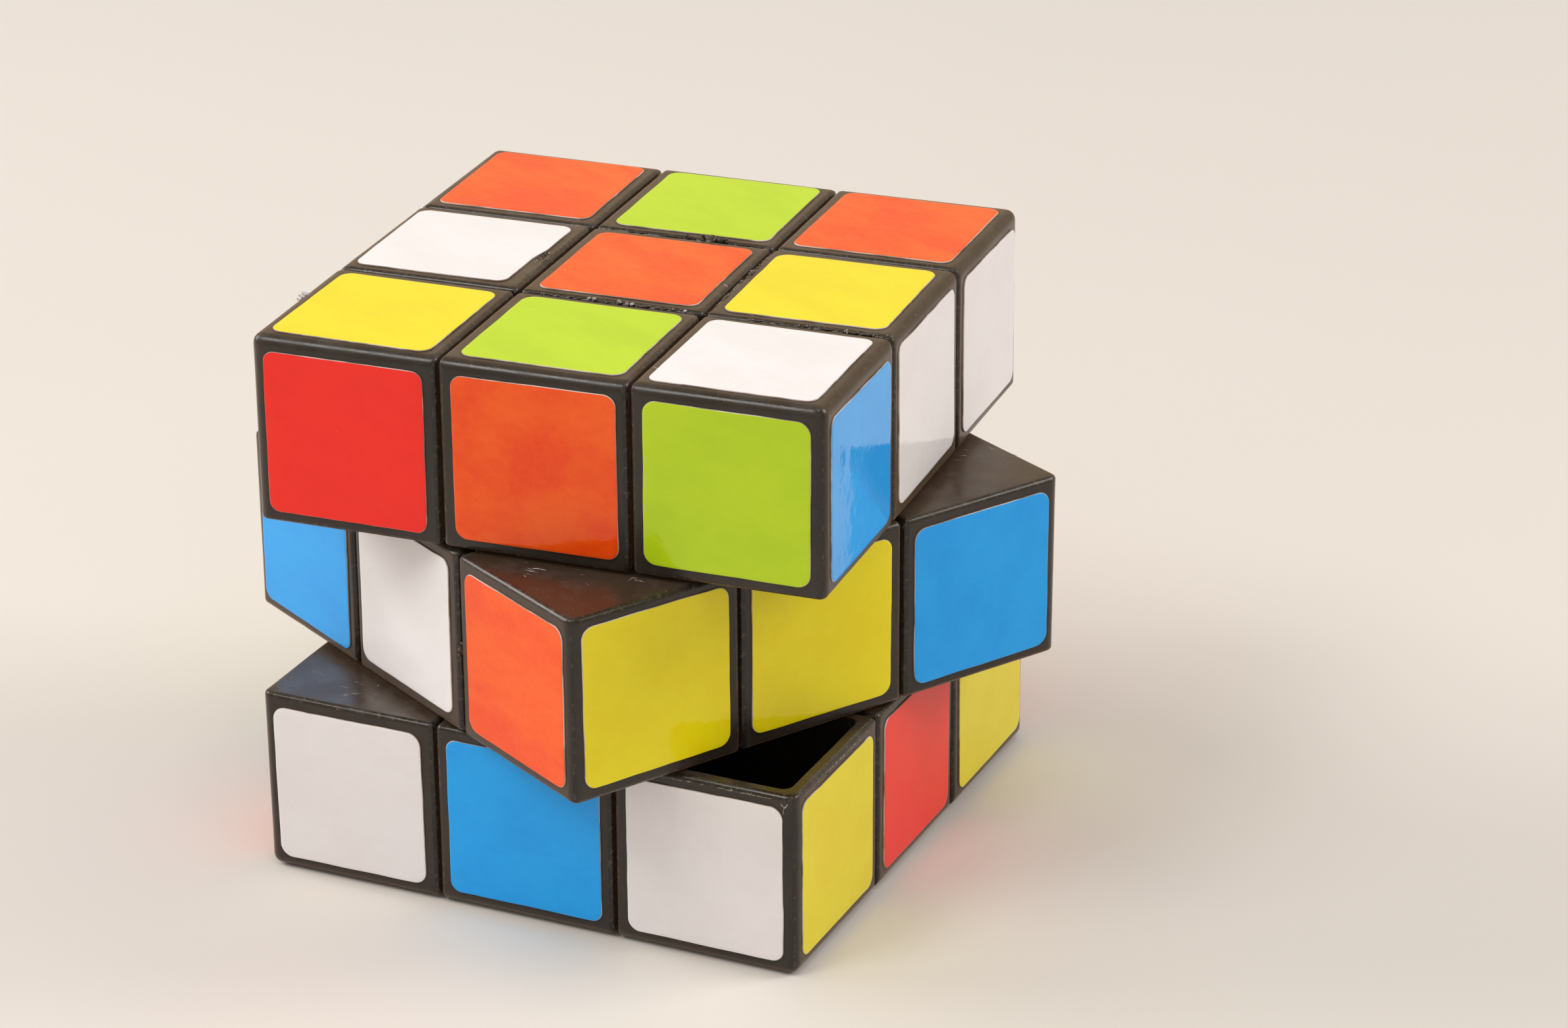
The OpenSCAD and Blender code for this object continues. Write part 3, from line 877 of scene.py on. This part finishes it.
# Each plastic: its dark and its warm tone, the tone of its rubbed edges, how strong that is, and
# the share of grime
PLASTICS = {
    "black_plastic": ((0.01, 0.0085, 0.0075, 1), (0.022, 0.017, 0.013, 1),
                      (0.12, 0.1, 0.085, 1), 0.5, 0.2),
    "core_plastic": ((0.03, 0.028, 0.026, 1), (0.045, 0.042, 0.038, 1),
                     (0.1, 0.095, 0.09, 1), 0.3, 0.2),
}


def make_vinyls():
    """The six vinyls by their letters."""
    return {letter: vinyl_material("vinyl_" + COLOUR_NAMES[letter], *values)
            for letter, values in VINYLS.items()}


def shell_templates():
    """Corner and edge cubies, closed and open, by (number of outer faces, open)."""
    corner = (INNER,) * 3, (HALF,) * 3
    edge = (-SIDE, INNER, INNER), (SIDE, HALF, HALF)
    return {
        (3, False): template_shell("corner_closed", *corner, False),
        (3, True): template_shell("corner_open", *corner, True),
        (2, False): template_shell("edge_closed", *edge, False),
        (2, True): template_shell("edge_open", *edge, True),
    }


def make_cubies(material):
    """All 26 cubies, each copied from its template. The middle place is the core's."""
    templates = shell_templates()
    cap, hub = template_cap(), template_hub()
    for place in [(x, y, z) for z in (-1, 0, 1) for y in (-1, 0, 1) for x in (-1, 0, 1)]:
        shown, name = sum(map(abs, place)), place_name(place)
        body = LAYERS[place[2]] + "_layer"
        if shown == 1:
            as_piece("cap_" + name, cap, place, body, "centre_cap_" + name, material)
            as_piece("hub_" + name, hub, place, body, "centre_hub_" + name, material, False)
        elif shown:
            kind = "corner" if shown == 3 else "edge"
            template = templates[shown, place in OPEN_CUBIES]
            node = "%s_shell_%s" % (kind, name)
            as_piece("%s_%s" % (kind, name), template, place, body, node, material)
    for template in [*templates.values(), cap, hub]:
        bpy.data.objects.remove(template)


def finish_cad_nodes(plastic, steel):
    """Gives the nodes that keep their CAD shape a material each."""
    for name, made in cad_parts.items():
        if name == "core" or "_feet_" in name:
            made.data.materials.clear()
            made.data.materials.append(plastic)
        elif name in ("core_screws", "spring_washers"):
            made.data.materials.clear()
            made.data.materials.append(steel)


# ---------------------------------------------------------------- floor, light and camera

CAMERA_AZIMUTH, CAMERA_ELEVATION, CAMERA_ROLL = 54.07, 23.39, -0.34
CAMERA_DISTANCE, CAMERA_RIGHT, CAMERA_UP = 0.453, 13.08 * MM, 2.39 * MM
CAMERA_LENS, CAMERA_SENSOR = 105.1, 36
ROOM_LIGHT, ROOM_STRENGTH = (1.0, 0.965, 0.925, 1), 0.48
BACKDROP = (0.73, 0.60, 0.41, 1)
# Each lamp: its azimuth from the camera's and its elevation in degrees, its distance and width
# in metres, its power in watts and its colour
LAMPS = {
    "left_window": (-104, 29, 1.0, 0.5, 5.0, (1.0, 0.99, 0.98)),
    "right_window": (96, 35, 1.0, 0.45, 4.0, (1.0, 0.985, 0.97)),
    "ceiling": (15, 72, 0.9, 0.35, 1.15, (1.0, 0.99, 0.97)),
    "upper_left": (-58, 52, 0.8, 0.26, 1.7, (1.0, 0.99, 0.98)),
    "room": (5, 15, 1.2, 0.9, 0.7, (1.0, 0.97, 0.94)),
}


def direction(azimuth, elevation):
    """From the cube towards a place round it. Azimuth turns from -Y towards +X, in degrees."""
    a, e = math.radians(azimuth), math.radians(elevation)
    return Vector((math.sin(a) * math.cos(e), -math.cos(a) * math.cos(e), math.sin(e)))


def make_floor():
    """A pale square floor, in cells, a little below the base plane."""
    size, steps = 6.0, 12
    lines = [size * (k / steps - 0.5) for k in range(steps + 1)]
    vertices = [(x, y, FLOOR_Z) for y in lines for x in lines]
    faces = []
    for row in range(steps):
        for column in range(steps):
            near = row * (steps + 1) + column
            far = near + steps + 1
            faces.append([near, near + 1, far + 1, far])
    floor = mesh_object("floor", vertices, faces)
    made, tree, shader, where = start_material("pale_floor")
    tone = ramp(tree, cloud(tree, where, 0.4), 0.3, 0.7)
    tree.links.new(mix(tree, tone, *FLOOR_TONES), shader.inputs["Base Color"])
    shader.inputs["Roughness"].default_value = 0.9
    shader.inputs["Specular IOR Level"].default_value = 0.15
    floor.data.materials.append(made)


def make_lamp(name, azimuth, elevation, distance, width, power, colour):
    """A soft square lamp aimed at the cube."""
    back = direction(CAMERA_AZIMUTH + azimuth, elevation)
    lamp = bpy.data.lights.new(name, "AREA")
    lamp.shape, lamp.size = "SQUARE", width
    lamp.energy, lamp.color = power, colour
    made = bpy.data.objects.new(name, lamp)
    made.location = Vector((0, 0, LIFT)) + back * distance
    made.rotation_mode = "QUATERNION"
    made.rotation_quaternion = back.to_track_quat("Z", "Y")
    bpy.context.scene.collection.objects.link(made)


def make_world():
    """An even light, and a tan backdrop that only camera, glossy and transmission rays see."""
    world = bpy.data.worlds.new("studio")
    world.use_nodes = True
    tree = world.node_tree
    tree.nodes.clear()
    path = add(tree, "ShaderNodeLightPath").outputs
    seen = math_node(tree, "MAXIMUM", path["Is Camera Ray"], path["Is Glossy Ray"])
    seen = math_node(tree, "MAXIMUM", seen, path["Is Transmission Ray"])
    light = add(tree, "ShaderNodeBackground", {"Color": ROOM_LIGHT, "Strength": ROOM_STRENGTH})
    shown = add(tree, "ShaderNodeBackground", {"Color": BACKDROP, "Strength": 1.0})
    both = add(tree, "ShaderNodeMixShader", {0: seen, 1: light.outputs[0], 2: shown.outputs[0]})
    add(tree, "ShaderNodeOutputWorld", {"Surface": both.outputs[0]})
    bpy.context.scene.world = world


def make_camera():
    """Looks at the cube from an azimuth and elevation, moved a little right and up, and rolled."""
    back = direction(CAMERA_AZIMUTH, CAMERA_ELEVATION)
    right = direction(CAMERA_AZIMUTH + 90, 0)
    up = back.cross(right)
    roll = math.radians(CAMERA_ROLL)
    across = right * math.cos(roll) + up * math.sin(roll)
    above = up * math.cos(roll) - right * math.sin(roll)
    turn = Matrix((across, above, back)).transposed()
    camera = bpy.data.objects.new("camera", bpy.data.cameras.new("camera"))
    camera.data.lens, camera.data.sensor_width = CAMERA_LENS, CAMERA_SENSOR
    camera.data.clip_start, camera.data.clip_end = 0.02, 20
    centre = Vector((0, 0, LIFT))
    spot = centre + back * CAMERA_DISTANCE + right * CAMERA_RIGHT + up * CAMERA_UP
    camera.matrix_world = Matrix.Translation(spot) @ turn.to_4x4()
    bpy.context.scene.collection.objects.link(camera)
    bpy.context.scene.camera = camera


plastics = {name: plastic_material(name, *values) for name, values in PLASTICS.items()}
plated_steel = steel_material()
cut_edge = cut_edge_material()
vinyls = make_vinyls()
make_cubies(plastics["black_plastic"])
make_stickers(vinyls, cut_edge)
make_springs(plated_steel)
finish_cad_nodes(plastics["core_plastic"], plated_steel)

make_floor()
for lamp_name, lamp_values in LAMPS.items():
    make_lamp(lamp_name, *lamp_values)
make_world()
make_camera()
bpy.context.scene.view_settings.view_transform = "Standard"

bpy.context.view_layer.update()
